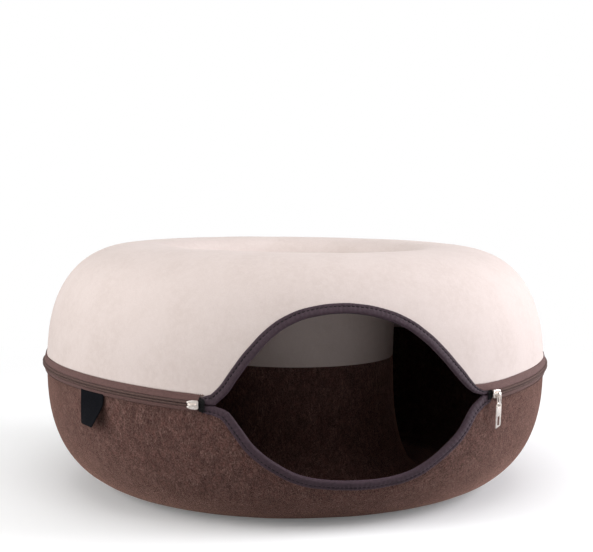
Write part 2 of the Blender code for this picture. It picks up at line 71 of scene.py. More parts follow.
ENTRANCE = (
    # azimuths, upper and lower edge in mm
    (-26, -24, -21, -17, -12, -6, 0, 5, 10, 14, 18, 22, 25),
    (10.5, 25, 46, 67.5, 82, 88, 88, 82.8, 72.5, 57.2, 37, 15.5, 3),
    (-7.5, -20, -41, -58.5, -72.5, -79, -80.8, -80.3, -76.5, -68, -54, -36, -14.5),
)
BINDING_LEG, BINDING_THICKNESS, BINDING_GAP = mm(9, 1.25, 0.45)
FOLD = BINDING_GAP + BINDING_THICKNESS
EDGE_TO_ZIP = LIPS_GAP / 2 + FOLD
SLIDER_LEFT, SLIDER_RIGHT = -32.6, 31.6
SLIDER_LENGTH, SLIDER_HALF, SLIDER_PLATE, SLIDER_LIFT = mm(12, 4.5, 1.3, 3.6)
BAIL_LENGTH, BAIL_WIDTH, BAIL_BAR, BAIL_EYE = mm(7.4, 1.8, 1, 1.8)
LINK_TOP, LINK_LENGTH, LINK_WIDTH, LINK_WALL, LINK_DEPTH = mm(2.1, 14.5, 3.6, 0.7, 3.1)
TAB_WIDTH, TAB_LENGTH, TAB_THICKNESS, TAB_TOP_BAR, TAB_EYE = mm(8, 26.5, 1.1, 1.3, 2.2)
TAB_WINDOW_WIDTH, TAB_WINDOW_LENGTH, TAB_FOOT, TAB_SLANT = mm(3.4, 9.5, 3, 2.6)
LABEL_LEFT, LABEL_RIGHT, LABEL_TWIST, LABEL_CURL, LABEL_FREE = -62.6, -54.9, 18.8, 1.3, 0.67
LABEL_DROP, LABEL_LIFT, LABEL_HANG, BARTACK_HALF = mm(35.5, 0.6, 0.5, 6.5)

# ---- sizes of the finer detail
STITCH_PITCH, STITCH_LENGTH, STITCH_RADIUS = mm(4.8, 3.1, 0.50)
STITCH_LINE = 3.4 * MM                  # from the binding's free edge
STITCH_RISE = 0.22 * MM                 # of the tape between two stitches
TAPE_LIFT = 1.4 * MM                    # of the binding off the felt
SEAM_ROWS = mm(4.55, 24.2)              # places of the two sewing rows round the folded binding
# The painted groove shade round each sewing row fades out between the first two distances.
GROOVE_SHADE_NEAR, GROOVE_SHADE_FAR, SQUEEZE, SQUEEZE_REACH, RIPPLE = mm(0.2, 0.8, 1.5, 11, 0.10)
RIPPLES = (
    # share, waves round the ring, twist round the section, phase
    (1, 5, 2.1, 0.7),
    (0.8, 11, -3.3, 1.9),
    (0.7, 17, 5.1, 0.4),
    (0.5, 29, -7.7, 2.6),
)


# ---- form of the ring
def smoothstep(value):
    value = np.clip(value, 0, 1)
    return value * value * (3 - 2 * value)


def rise_and_power(upper, outer):
    rise = np.where(upper, CROWN_RISE, FOOT_DROP + FOOT_FLATTENING)
    power = np.where(upper, np.where(outer, UPPER_OUTER_POWER, UPPER_INNER_POWER),
                     np.where(outer, LOWER_OUTER_POWER, LOWER_INNER_POWER))
    return rise, power


def section_point(turn):
    """Radius and height at an angle round the section: 0 is widest, a quarter turn the crown."""
    outer, upper = np.cos(turn) >= 0, np.sin(turn) >= 0
    rise, power = rise_and_power(upper, outer)
    middle = np.where(upper, CROWN_RADIUS, FOOT_RADIUS)
    side = np.where(outer, OUTER_RADIUS, HOLE_RADIUS)
    radius = middle + (side - middle) * np.abs(np.cos(turn)) ** (2 / power)
    height = np.sign(np.sin(turn)) * rise * np.abs(np.sin(turn)) ** (2 / power)
    return radius, np.maximum(height, -FOOT_DROP)


def section_normal(turn):
    before, after = (section_point(turn + step) for step in (-0.002, 0.002))
    out, up = after[1] - before[1], before[0] - after[0]
    length = np.hypot(out, up)
    return out / length, up / length


def turn_at(height):
    """Angle round the section of a height on the outer wall."""
    rise, power = rise_and_power(height >= 0, True)
    return np.sign(height) * np.arcsin((np.abs(height) / rise) ** (power / 2))


def lean(azimuth, height):
    share = np.clip(height / CROWN_RISE, 0, 1)
    return CROWN_LEAN * np.cos(np.radians(azimuth - CROWN_LEAN_AZIMUTH)) * share


def place(azimuth, radius, height):
    angle = np.radians(azimuth)
    up = FOOT_DROP + height + lean(azimuth, height)
    x, y = radius * np.sin(angle), AXIS_Y - radius * np.cos(angle)
    return np.stack(np.broadcast_arrays(x, y, up), -1)


def zip_height(azimuth):
    return ZIP_BACK_HEIGHT - ZIP_SAG * np.exp(-((azimuth - ZIP_SAG_AZIMUTH) / ZIP_SAG_WIDTH) ** 2)


def flare(azimuth, height):
    """How far the felt stands out beside the zip, away from the entrance."""
    away = (np.abs(height - zip_height(azimuth)) - EDGE_TO_ZIP) / FLARE_HEIGHT
    beside = smoothstep((np.abs(azimuth) - LIPS_RIGHT) / FLARE_START)
    return FLARE * (1 - np.clip(away, 0, 1)) * beside


def section_on(azimuth, turn, lift):
    """Point at an angle round the section, lifted off it."""
    radius, height = section_point(turn)
    out, up = section_normal(turn)
    radius = radius + np.where(np.cos(turn) > 0, flare(azimuth, height), 0)
    return place(azimuth, radius + out * lift, height + up * lift)


def on_wall(azimuth, height, lift=0):
    """Point at a height on the outer wall, lifted off it."""
    azimuth, height, lift = np.broadcast_arrays(azimuth, height, lift)
    return section_on(azimuth, turn_at(height), lift)


def edge_heights(side):
    """The bound edge of the entrance: azimuths, and the felt's own edge behind the fold at each."""
    knots = [(azimuth, height * MM) for azimuth, height in zip(ENTRANCE[0], ENTRANCE[side])]
    knots += [(lips, zip_height(lips) + side * LIPS_GAP / 2) for lips in (LIPS_LEFT, LIPS_RIGHT)]
    spots, values = np.array(sorted(knots)).T
    ends = np.diff(values) / np.diff(spots)
    middle = (values[2:] - values[:-2]) / (spots[2:] - spots[:-2])
    slopes = np.concatenate([ends[:1], middle, ends[-1:]])
    azimuths = np.linspace(LIPS_LEFT, LIPS_RIGHT, 1201)
    index = np.clip(np.searchsorted(spots, azimuths, side="right") - 1, 0, len(spots) - 2)
    width = spots[index + 1] - spots[index]
    part = (azimuths - spots[index]) / width
    finished = ((1 + 2 * part) * (1 - part) ** 2 * values[index]
                + part * (1 - part) ** 2 * width * slopes[index]
                + part ** 2 * (3 - 2 * part) * values[index + 1]
                - part ** 2 * (1 - part) * width * slopes[index + 1])
    slope = np.gradient(finished, np.radians(azimuths) * OUTER_RADIUS)
    return azimuths, finished + side * FOLD * np.hypot(1, slope)


EDGES = {side: edge_heights(side) for side in (1, -1)}


def felt_edge(azimuth, side):
    """Height of a shell's edge: round the entrance, and beside the zip elsewhere."""
    azimuths, heights = EDGES[side]
    inside = (azimuth > LIPS_LEFT) & (azimuth < LIPS_RIGHT)
    return np.where(inside, np.interp(azimuth, azimuths, heights),
                    zip_height(azimuth) + side * EDGE_TO_ZIP)


# ---- meshes
def add_object(name, data):
    thing = bpy.data.objects.new(name, data)
    bpy.context.scene.collection.objects.link(thing)
    return thing


def add_mesh(name, points, faces, finish, uvs=None, sharp=50):
    """Object from points and faces, outward, smooth, with one material; uvs has a pair a corner."""
    mesh = bpy.data.meshes.new(name)
    mesh.from_pydata(np.asarray(points).reshape(-1, 3).tolist(), [], faces)
    if uvs is not None:
        layer = mesh.uv_layers.new(name="cloth")
        layer.data.foreach_set("uv", np.asarray(uvs, np.float32).ravel())
    builder = bmesh.new()
    builder.from_mesh(mesh)
    bmesh.ops.recalc_face_normals(builder, faces=builder.faces)
    builder.to_mesh(mesh)
    builder.free()
    mesh.shade_smooth()
    mesh.set_sharp_from_angle(angle=radians(sharp))
    mesh.materials.append(finish)
    piece = add_object(name, mesh)
    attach(piece, "root")
    return piece


def grid(rows, count, closed=False):
    """Quads between rows of count points round a ring, and between the last and first if closed."""
    row = np.arange(rows if closed else rows - 1)[:, None]
    column = np.arange(count)[None, :]
    after_row, after_column = (row + 1) % rows, (column + 1) % count
    quads = np.stack([row * count + column, row * count + after_column,
                      after_row * count + after_column, after_row * count + column], -1)
    return quads.reshape(-1, 4).tolist()


def capped_tubes(count, stations, sides):
    """Faces of some closed tubes whose points follow one another."""
    one = grid(stations, sides)
    last = (stations - 1) * sides
    one += [list(range(sides)), list(range(last, last + sides))]
    return [[corner + number * stations * sides for corner in face]
            for number in range(count) for face in one]


def grid_uvs(along, around):
    """Corner UVs of a grid from a distance for each row and for each column."""
    row, column = np.indices((len(along) - 1, len(around) - 1))
    corners = [np.stack([along[row + r], around[column + c]], -1)
               for r, c in ((0, 0), (0, 1), (1, 1), (1, 0))]
    return np.stack(corners, 2).reshape(-1, 2)


def lengths(points):
    """Distances along a run of points, from 0."""
    steps = np.linalg.norm(np.diff(points, axis=0), axis=1)
    return np.concatenate([[0], np.cumsum(steps)])


def tube(name, sections, finish, sharp=50, along=None):
    """Closed solid through rings of points (stations, ring, 3), with UVs in metres on it."""
    stations, ring = sections.shape[:2]
    along = lengths(sections[:, 0]) if along is None else along
    middle = sections[stations // 2]
    uvs = [grid_uvs(along, lengths(np.concatenate([middle, middle[:1]])))]
    uvs += [np.tile([[along[end], 0]], (ring, 1)) for end in (0, -1)]
    return add_mesh(name, sections, capped_tubes(1, stations, ring), finish,
                    np.concatenate(uvs), sharp)


def unit(vectors):
    return vectors / np.linalg.norm(vectors, axis=-1, keepdims=True)


def headings(points):
    return unit(np.gradient(points, axis=0))


def outward_at(points):
    """Level directions away from the ring's axis."""
    outward = points - np.array([0, AXIS_Y, 0])
    outward[:, 2] = 0
    return unit(outward)


CAPSULE = ((-0.5, 0.35), (-0.42, 0.8), (-0.2, 1), (0.2, 1), (0.42, 0.8), (0.5, 0.35))
CAPSULE_SIDES = 6


def capsules(name, threads, length, radius, finish, flatten):
    """Short threads from their centres, directions and flattened sides' normals."""
    centres, directions, normals = threads
    directions = unit(directions)
    normals = unit(normals - directions * np.sum(normals * directions, 1, keepdims=True))
    sides = np.cross(directions, normals)
    angles = [2 * pi * step / CAPSULE_SIDES for step in range(CAPSULE_SIDES)]
    ring = np.array([(position, share * cos(angle), share * sin(angle) * flatten)
                     for position, share in CAPSULE for angle in angles])
    points = (centres[:, None] + directions[:, None] * (ring[:, :1] * length)
              + sides[:, None] * (ring[:, 1:2] * radius)
              + normals[:, None] * (ring[:, 2:] * radius))
    return add_mesh(name, points, capped_tubes(len(centres), len(CAPSULE), CAPSULE_SIDES), finish)


def spaced(points, pitch, start):
    """Positions every pitch along a run of points, as fractional indices."""
    distance = lengths(points)
    wanted = np.arange(start, distance[-1], pitch)
    return np.interp(wanted, distance, np.arange(len(points)))


def sample(values, spots):
    low = np.clip(np.floor(spots).astype(int), 0, len(values) - 2)
    part = (spots - low)[:, None]
    return values[low] * (1 - part) + values[low + 1] * part


# ---- materials
class Wiring:
    """Helpers that add nodes to a material or world and join them."""

    def __init__(self, owner):
        owner.use_nodes = True
        self.tree = owner.node_tree

    def plug(self, socket, value):
        if isinstance(value, bpy.types.NodeSocket):
            self.tree.links.new(value, socket)
        elif isinstance(value, tuple) and socket.type == "RGBA":
            socket.default_value = (*value, 1)
        else:
            socket.default_value = value

    def node(self, kind, *values, output=None, **settings):
        """Output of a new node; values go to its inputs in turn, capitalised settings by name."""
        node = self.tree.nodes.new("ShaderNode" + kind)
        for key, value in settings.items():
            if key[0].isupper():
                self.plug(node.inputs[key], value)
            else:
                setattr(node, key, value)
        for socket, value in zip([socket for socket in node.inputs if socket.enabled], values):
            self.plug(socket, value)
        if output is not None:
            return node.outputs[output]
        return next(socket for socket in node.outputs if socket.enabled)

    def show(self, shader, output):
        self.plug(self.tree.nodes[output].inputs["Surface"], shader)


class Finish(Wiring):
    """A Principled material, with its colour and bump made from nodes."""

    def __init__(self, name, colour, roughness, **sockets):
        self.material = bpy.data.materials.new(name)
        super().__init__(self.material)
        self.inputs = self.tree.nodes["Principled BSDF"].inputs
        self.base, self.normal = colour, None
        for socket, value in {"Base Color": colour, "Roughness": roughness, **sockets}.items():
            self.plug(self.inputs[socket.replace("_", " ")], value)

    def place(self, scale=(1, 1, 1), turn=(0, 0, 0), output="Object"):
        """Object or UV coordinates, turned and then scaled."""
        where = self.node("TexCoord", output=output)
        where = self.node("Mapping", Vector=where, Rotation=turn)
        return self.node("Mapping", Vector=where, Scale=scale)

    def noise(self, scale, detail, roughness, where=None, distortion=0):
        return self.node("TexNoise", Vector=where or self.place(), Scale=scale, Detail=detail,
                         Roughness=roughness, Distortion=distortion)

    def math(self, operation, *values):
        return self.node("Math", *values, operation=operation)

    def step(self, value, low, high, out_low=0, out_high=1):
        """Maps low..high of a value smoothly to out_low..out_high."""
        return self.node("MapRange", value, low, high, out_low, out_high,
                         interpolation_type="SMOOTHSTEP")

    def wave(self, pitch, direction, phase=0):
        """A sine across UV coordinates with a pitch in metres along a direction."""
        share = tuple(2 * pi * part / pitch for part in direction)
        dot = self.node("VectorMath", self.place(output="UV"), share, operation="DOT_PRODUCT")
        return self.math("SINE", self.math("ADD", dot, phase))

    def blend(self, factor, colour):
        self.base = self.node("Mix", factor, self.base, colour, data_type="RGBA")

    def tint(self, value, low, high, colour, share=1):
        """Turns the base to a colour, by a share at most, as a value goes from low to high."""
        self.blend(self.step(value, low, high, 0, share), colour)

    def strew(self, mask, share, colour):
        """Lays a colour over the base where a mask is, by a share."""
        self.blend(self.math("MULTIPLY", mask, share), colour)

    def fibres(self, thickness, length, turns, low, high, distortion=0.6):
        """Mask of short curved fibres that lie several ways: stretched noise above a level."""
        total = None
        for number, turn in enumerate(turns):
            where = self.place((1 / thickness, 1 / thickness, 1 / length), turn)
            apart = (7.3 * number, 3.1 * number, 5.7 * number)
            shifted = self.node("VectorMath", where, apart, operation="ADD")
            strands = self.step(self.noise(1, 1, 0.5, shifted, distortion), low, high)
            total = strands if total is None else self.math("MAXIMUM", total, strands)
        return total

    def bump(self, height, distance, strength):
        before = {} if self.normal is None else {"Normal": self.normal}
        self.normal = self.node("Bump", Height=height, Distance=distance, Strength=strength,
                                **before)
        self.plug(self.inputs["Normal"], self.normal)

    def done(self):
        self.plug(self.inputs["Base Color"], self.base)
        return self.material


FIBRE_TURNS = ((0, 0, 0), (0.5, 0.25, 0), (-0.55, 0.3, 0.4), (1.2, 0.2, 0.7), (0.25, -1.25, 0.2))


def cream_felt():
    """Pale felt: faint clouds and patches under fine fibres."""
    felt = Finish("cream_felt", (0.70, 0.60, 0.565), 0.95, Sheen_Weight=0.08,
                  Sheen_Roughness=0.45, Sheen_Tint=(1, 0.93, 0.9), Specular_IOR_Level=0.3)
    cloud = felt.noise(22, 3, 0.55)
    patch = felt.noise(170, 3, 0.6)
    grain = felt.noise(900, 2, 0.6)
    felt.base = (0.672, 0.572, 0.532)
    felt.tint(cloud, 0.3, 0.7, (0.722, 0.622, 0.585))
    felt.tint(patch, 0.35, 0.7, (0.745, 0.648, 0.612), 0.6)
    felt.tint(grain, 0.35, 0.75, (0.60, 0.505, 0.47), 0.30)
    pale = felt.fibres(0.45 * MM, 9 * MM, FIBRE_TURNS, 0.58, 0.74)
    felt.strew(pale, 0.28, (0.80, 0.71, 0.67))
    dark = felt.fibres(0.5 * MM, 8 * MM, FIBRE_TURNS[1:4], 0.60, 0.74)
    felt.strew(dark, 0.18, (0.52, 0.43, 0.395))
    felt.bump(patch, 0.4 * MM, 0.15)
    felt.bump(grain, 0.15 * MM, 0.3)
    felt.bump(pale, 0.04 * MM, 0.4)
    return felt.done()


def brown_felt():
    """Heathered felt: clouds, blotches, wisps and fibres."""
    felt = Finish("brown_felt", (0.0674, 0.0244, 0.0204), 0.95, Sheen_Weight=0.56,
                  Sheen_Roughness=0.33, Sheen_Tint=(1, 0.58, 0.46), Specular_IOR_Level=0.2)
    cloud = felt.noise(24, 3, 0.6)
    blotch = felt.noise(1, 4, 0.62, felt.place((210, 210, 130)))
    grain = felt.noise(1, 2, 0.6, felt.place((950, 950, 420)))
    felt.base = (0.0311, 0.00968, 0.00797)
    felt.tint(cloud, 0.32, 0.68, (0.0535, 0.0187, 0.0159))
    felt.tint(blotch, 0.45, 0.66, (0.105, 0.0405, 0.0335))
    felt.tint(blotch, 0.48, 0.31, (0.023, 0.00704, 0.0056), 0.9)
    felt.tint(grain, 0.46, 0.66, (0.0176, 0.00578, 0.00475), 0.85)
    groups = felt.step(felt.noise(60, 2, 0.6), 0.34, 0.68, 0.30, 1)
    wisps = felt.fibres(2.6 * MM, 12 * MM, FIBRE_TURNS, 0.52, 0.84, 1)
    felt.strew(felt.math("MULTIPLY", wisps, groups), 0.74, (0.25, 0.138, 0.115))
    fine = felt.fibres(0.42 * MM, 8 * MM, FIBRE_TURNS, 0.59, 0.72)
    felt.strew(fine, 0.62, (0.30, 0.175, 0.147))
    pale = felt.fibres(0.8 * MM, 9 * MM, FIBRE_TURNS[:3], 0.66, 0.75)
    felt.strew(felt.math("MULTIPLY", pale, groups), 0.92, (0.36, 0.225, 0.19))
    dark = felt.fibres(0.6 * MM, 8 * MM, FIBRE_TURNS[1:4], 0.60, 0.76)
    felt.strew(dark, 0.75, (0.0143, 0.00494, 0.00396))
    felt.bump(blotch, 0.7 * MM, 0.25)
    felt.bump(grain, 0.3 * MM, 0.40)
    felt.bump(fine, 0.12 * MM, 0.7)
    return felt.done()


def darker(colour, share):
    return tuple(value * share for value in colour)


def woven(name, light, dark, pitch, roughness, slant=1, depth=0.12 * MM, sheen=0.15,
          sheen_tint=(0.8, 0.75, 0.8), shaded_seams=(), gloss=0.3):
    """Woven tape: fine ribs, uneven yarns, and painted groove shade along its sewing rows."""
    middle = tuple((a + b) / 2 for a, b in zip(light, dark))
    tape = Finish(name, middle, roughness, Sheen_Weight=sheen, Sheen_Roughness=0.4,
                  Sheen_Tint=sheen_tint, Specular_IOR_Level=gloss)
    first = tape.wave(pitch, (1, slant, 0))
    second = tape.wave(pitch * 1.15, (0.12, 1, 0))
    weave = tape.math("MULTIPLY", first, second)
    uneven = tape.noise(420, 3, 0.65)
    tape.base = dark
    tape.tint(weave, -0.9, 0.9, light)
    tape.tint(uneven, 0.35, 0.7, darker(dark, 0.6), 0.55)
    if shaded_seams:
        # Painted shade: the thread draws the tape into a groove, and the groove's shade is painted
        # here, darkest at each stitch.
        across = tape.node("SeparateXYZ", tape.place(output="UV"), output="Y")
        holes = tape.step(tape.wave(STITCH_PITCH, (1, 0, 0), phase=pi / 2), 0.3, -0.3)
        for seam in shaded_seams:
            away = tape.math("ABSOLUTE", tape.math("SUBTRACT", across, seam))
            tape.strew(tape.step(away, GROOVE_SHADE_FAR, GROOVE_SHADE_NEAR), holes, darker(dark, 0.12))
    tape.bump(weave, depth, 0.7)
    tape.bump(uneven, 0.3 * MM, 0.35)
    return tape.done()


def thread(name, light, dark):
    yarn = Finish(name, light, 0.7, Sheen_Weight=0.05, Specular_IOR_Level=0.2)
    ply = yarn.noise(2600, 2, 0.6)
    yarn.base = dark
    yarn.tint(ply, 0.35, 0.65, light)
    yarn.bump(ply, 0.12 * MM, 0.6)
    return yarn.done()


def plated_metal():
    metal = Finish("plated_metal", (0.90, 0.84, 0.78), 0.3, Metallic=0.75)
    smear = metal.noise(260, 3, 0.6)
    metal.base = (0.95, 0.89, 0.84)
    metal.tint(smear, 0.35, 0.7, (0.80, 0.70, 0.63))
    metal.plug(metal.inputs["Roughness"], metal.step(smear, 0.3, 0.75, 0.26, 0.42))
    metal.bump(metal.noise(900, 2, 0.5), 0.06 * MM, 0.4)
    return metal.done()


CREAM = cream_felt()
BROWN = brown_felt()
# The binding carries painted shade in the grooves of its two sewing rows.
BINDING = woven("binding_tape", (0.077, 0.043, 0.058), (0.041, 0.022, 0.031), 1.3 * MM, 0.60,
                shaded_seams=SEAM_ROWS, sheen=0.18, sheen_tint=(0.95, 0.72, 0.90))
ZIP_TAPE = woven("zip_tape", (0.175, 0.090, 0.081), (0.115, 0.058, 0.052), 1.2 * MM, 0.72,
                 slant=0, sheen_tint=(0.9, 0.7, 0.66))
ZIP_COIL = woven("zip_coil", (0.158, 0.094, 0.082), (0.082, 0.048, 0.042), 1.1 * MM, 0.7,
                 slant=0.25, sheen_tint=(0.85, 0.7, 0.64), gloss=0.15)
RIBBON = woven("black_ribbon", (0.0075, 0.0078, 0.0110), (0.003, 0.0032, 0.0048), 0.9 * MM, 0.8,
               depth=0.08 * MM, sheen=0, gloss=0.06)
DARK_THREAD = thread("dark_thread", (0.010, 0.007, 0.010), (0.004, 0.003, 0.004))
BLACK_THREAD = thread("black_thread", (0.0060, 0.0052, 0.0058), (0.002, 0.002, 0.0022))
BROWN_THREAD = thread("brown_thread", (0.17, 0.092, 0.083), (0.09, 0.048, 0.044))
METAL = plated_metal()


# ---- felt shells
FRONT_REACH, FRONT_STEP, BACK_COLUMNS = 33, 0.6, 197    # degrees each side, degrees, columns
OUTER_ROWS, INNER_ROWS = 34, 25
CUT_EDGE = 0.5 * MM                     # rounding of a cut edge of the felt
HALF_SEAM = 0.05 * MM                   # half of the slit between the shells' inner walls


def ripple(azimuth, turn):
    """Slight unevenness of the moulded felt, in metres of lift."""
    angle = np.radians(azimuth)
    return RIPPLE * sum(share * np.sin(waves * angle + twist * turn + phase)
                        for share, waves, twist, phase in RIPPLES)


def squeeze(away):
    """How much thinner the binding's seam presses the felt at a distance from its edge."""
    return SQUEEZE * (1 - smoothstep(away / SQUEEZE_REACH))


def wrap(azimuth):
    return np.where(azimuth > 180, azimuth - 360, azimuth)


def fine_columns():
    """Azimuths of the felt's columns, closer together round the entrance."""
    front = np.arange(-FRONT_REACH, FRONT_REACH + 0.01, FRONT_STEP)
    back = np.linspace(FRONT_REACH, 360 - FRONT_REACH, BACK_COLUMNS)[1:-1]
    return wrap(np.concatenate([front, back]))


def shell(name, side, finish):
    """Half of the ring, from its edge over the crown or foot to the inner wall's seam."""
    azimuth = fine_columns()[:, None]
    pole = side * pi / 2
    first = turn_at(felt_edge(azimuth, side))
    rise = np.arcsin((SEAM_HEIGHT / CROWN_RISE) ** (UPPER_INNER_POWER / 2))
    seam = side * pi - rise
    outer = first + (pole - first) * np.linspace(0, 1, OUTER_ROWS)[None, :] ** 1.15
    inner = pole + (seam - pole) * np.linspace(0, 1, INNER_ROWS)[None, 1:]
    turn = np.hstack([outer, np.tile(inner, (len(azimuth), 1))])
    rim = np.ones(turn.shape[1])
    rim[[0, -1]] = 0
    plain = section_on(azimuth, turn, 0)
    steps = np.linalg.norm(np.diff(plain, axis=1, prepend=plain[:, :1]), axis=2)
    bound = smoothstep((BINDING_ENDS[1] + 0.6 - np.abs(azimuth)) / 2)
    thinner = squeeze(np.cumsum(steps, 1)) * bound
    layers = []
    for lift, round_off in ((0, -CUT_EDGE), (-FELT, CUT_EDGE)):
        total = lift + ripple(azimuth, turn) * rim + round_off * (1 - rim)
        if lift < 0:
            total = total + thinner
        points = section_on(azimuth, turn, total)
        points[:, -1, 2] = (FOOT_DROP + SEAM_HEIGHT + lean(azimuth[:, 0], SEAM_HEIGHT)
                            + side * HALF_SEAM)
        layers.append(points)
    layers[0][..., 2] = np.maximum(layers[0][..., 2], 0)      # nothing under the floor
    loop = np.concatenate([layers[0], layers[1][:, ::-1]], 1)
    return add_mesh(name, loop, grid(*loop.shape[:2], closed=True), finish, sharp=40)


upper = shell("upper_felt", 1, CREAM)
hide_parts("upper_shell")
lower = shell("lower_felt", -1, BROWN)
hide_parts("lower_shell")


# ---- bindings
# Rings round the folded tape, outside and inside the felt: shares of the leg's length and of the
# way to the sewing row, mm beyond them, and share of the tape's lift.
FRONT_RING = (
    (1, 0, 0, 0.25), (1, 0, 0.15, 0.6), (1, 0, -0.1, 0.93), (1, 0, -0.5, 1.05),
    (0.5, 0.5, 0, 1.06), (0, 1, 0.55, 0.95), (0, 1, 0, 0.62), (0, 1, -0.6, 0.98),
    (0, 0.70, 0, 1.12), (0, 0.40, 0, 1.17), (0, 0.12, 0, 1.08), (0, 0, -0.5, 0.80),
    (0, 0, -1.15, 0.28), (0, 0, -1.5, -0.35), (0, 0, -1.42, -1.1),
)
BACK_RING = (
    (0, 0, -1, 0.1), (0, 0, -0.4, 0.7), (0.15, 0, 0, 0.95), (0.45, 0, 0, 1.05),
    (0, 1, -0.6, 0.95), (0, 1, 0, 0.65), (0, 1, 0.6, 0.95), (1, 0, -0.3, 0.9), (1, 0, 0, 0.3),
)
FRONT_STITCH, BACK_STITCH = 6, 20       # places of the sewing rows on the whole ring
BINDING_STATIONS = 640
TIP_ROUNDING = 2.2 * MM
LEGS = {                                # azimuths, mm
    1: ((-31.5, -30.8, -29.3, 22, 25.3, 27, 27.9, 29.5, 30.5),
        (6.4, 7.2, 9, 8.6, 5.9, 3.7, 2.8, 2.1, 1.7)),
    -1: ((-31.5, -30, -27.5, -24), (5.9, 6.7, 7.8, 8.6)),
}


def binding_leg(azimuth, side):
    """Width of the tape on the felt, which is drawn in towards the corners."""
    return np.interp(azimuth, *LEGS[side]) * MM


def binding_outline(leg):
    """Ring of (distance behind the felt's edge, lift) round the folded tape, for each leg."""
    stitch = leg * (1 - STITCH_LINE / BINDING_LEG)
    zero = np.zeros_like(leg)
    near = 0.09 * MM
    front, back = ([(of_leg * leg + of_stitch * stitch + beyond * MM, lift * TAPE_LIFT)
                    for of_leg, of_stitch, beyond, lift in ring]
                   for ring in (FRONT_RING, BACK_RING))
    ring = [(distance, zero + lift) for distance, lift in front]
    ring += [(distance, squeeze(np.maximum(distance, 0)) - FELT - lift) for distance, lift in back]
    ring += [(distance, squeeze(distance) - FELT - near) for distance in (leg, 0.5 * leg, zero)]
    ring += [(distance, zero + near) for distance in (zero - near, 0.5 * leg, leg)]
    return np.array(ring).transpose(2, 0, 1)


def edge_point(azimuth, side, lift=0):
    return on_wall(azimuth, felt_edge(azimuth, side), lift)


def eased_along(points, reach=21, width=7):
    """Rows of points smoothed along the tape."""
    spread = np.exp(-0.5 * (np.arange(-reach, reach + 1) / width) ** 2)
    padded = np.concatenate([2 * points[:1] - points[reach:0:-1], points,
                             2 * points[-1:] - points[-2:-reach - 2:-1]])
    return sum(weight * padded[k:k + len(points)]
               for k, weight in enumerate(spread / spread.sum()))


def stitches_on(row, outward, outside):
    """Centres, directions and normals of a binding's stitches on one row."""
    spots = spaced(row, STITCH_PITCH, 0.5 * STITCH_PITCH)
    spots = spots[(spots > 5) & (spots < len(row) - 6)]
    normal = sample(outward, spots)
    centres = sample(row, spots) + normal * (0.10 * MM * outside)
    return centres, sample(headings(row), spots), normal


def binding(name, side, node):
    """Tape folded over the entrance's edge, with its stitches outside and inside."""
    fine = np.linspace(*BINDING_ENDS, 1401)
    distance = lengths(edge_point(fine, side))
    stations = np.interp(np.linspace(0, distance[-1], BINDING_STATIONS), distance, fine)
    here = edge_point(stations, side)
    step = 0.9
    along = unit(edge_point(stations + step, side) - edge_point(stations - step, side))
    outward = unit(edge_point(stations, side, MM) - here)
    into_felt = unit(side * np.cross(outward, along))
    ring = binding_outline(binding_leg(stations, side))
    run = lengths(here)
    # The tips are rounded off, and the tape puckers a little between the stitches.
    tip = np.minimum(run, run[-1] - run) / TIP_ROUNDING
    shrink = np.sqrt(np.clip(1 - (1 - np.clip(tip, 0, 1)) ** 2, 0.05, 1))[:, None, None]
    centre = ring.mean(1, keepdims=True)
    ring = centre + (ring - centre) * shrink
    between = np.cos(2 * pi * run / STITCH_PITCH)
    pucker = 0.10 * MM * between[:, None]
    drift = (0.12 * MM * np.sin(run / (9 * MM) + side)[:, None]
             + 0.08 * MM * np.sin(run / (3.7 * MM) + 1.3)[:, None])
    lift = ring[..., 1] + (pucker + drift) * np.sign(ring[..., 1] + FELT / 2)
    lift[:, FRONT_STITCH] += STITCH_RISE * (1 + between)
    point = here[:, None] + into_felt[:, None] * (ring[..., 0] + drift * 0.8)[..., None]
    # The free edge rounds the corners more gently than the fold does.
    share = np.clip(ring[..., 0] / (6 * MM), 0, 1)[..., None]
    point = point * (1 - share) + eased_along(point) * share
    azimuth = np.degrees(np.arctan2(point[..., 0], AXIS_Y - point[..., 1]))
    height = point[..., 2] - FOOT_DROP
    sections = on_wall(azimuth, height - lean(azimuth, height), lift)
    piece = tube(name, sections, BINDING, sharp=60, along=lengths(sections[:, FRONT_STITCH]))
    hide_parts(node)
    rows = [stitches_on(sections[:, spot], outward, outside)
            for spot, outside in ((FRONT_STITCH, 1), (BACK_STITCH, -1))]
    joined = [np.concatenate(parts) for parts in zip(*rows)]
    seam = capsules(name + "_stitches", joined, STITCH_LENGTH, STITCH_RADIUS, DARK_THREAD, 0.7)


binding("binding_tape_upper", 1, "binding_upper")
binding("binding_tape_lower", -1, "binding_lower")


# ---- zip
NEAR_CORNER = 35                        # azimuth up to which the stations lie closer together
TAPE_STATIONS, CHAIN_STATIONS = 1000, 2600
UPPER_TAPE_TIPS = (25.4, 329.3)
LOWER_TAPE_TIPS = (ZIP_END_AZIMUTH, 360 - ZIP_END_AZIMUTH)
RIGHT_TAPE_END = (
    # azimuths, mm above the zip's middle
    (25.3, 28, 31, 35.4, 41.8, 53, 70),
    (13.5, 12.1, 11.4, 11, 11.2, 10.4, 9.7),
)
# Outlines across: share of the width, and share of the ridge's height or the chain's depth.
TAPE_OUTLINE = ((0, 0), (0.5, 0), (1, 0), (1.03, 0.35), (0.98, 0.62), (0.9, 0.72),
                (0.72, 0.80), (0.5, 0.86), (0.28, 0.95), (0.12, 1), (0.03, 0.86), (-0.02, 0.45))
CHAIN_OUTLINE = ((-0.01, 0), (1, 0), (1.04, 0.45), (0.86, 0.86), (0.60, 1),
                 (0.34, 0.94), (0.13, 0.70), (0.05, 0.42), (-0.01, 0.25))


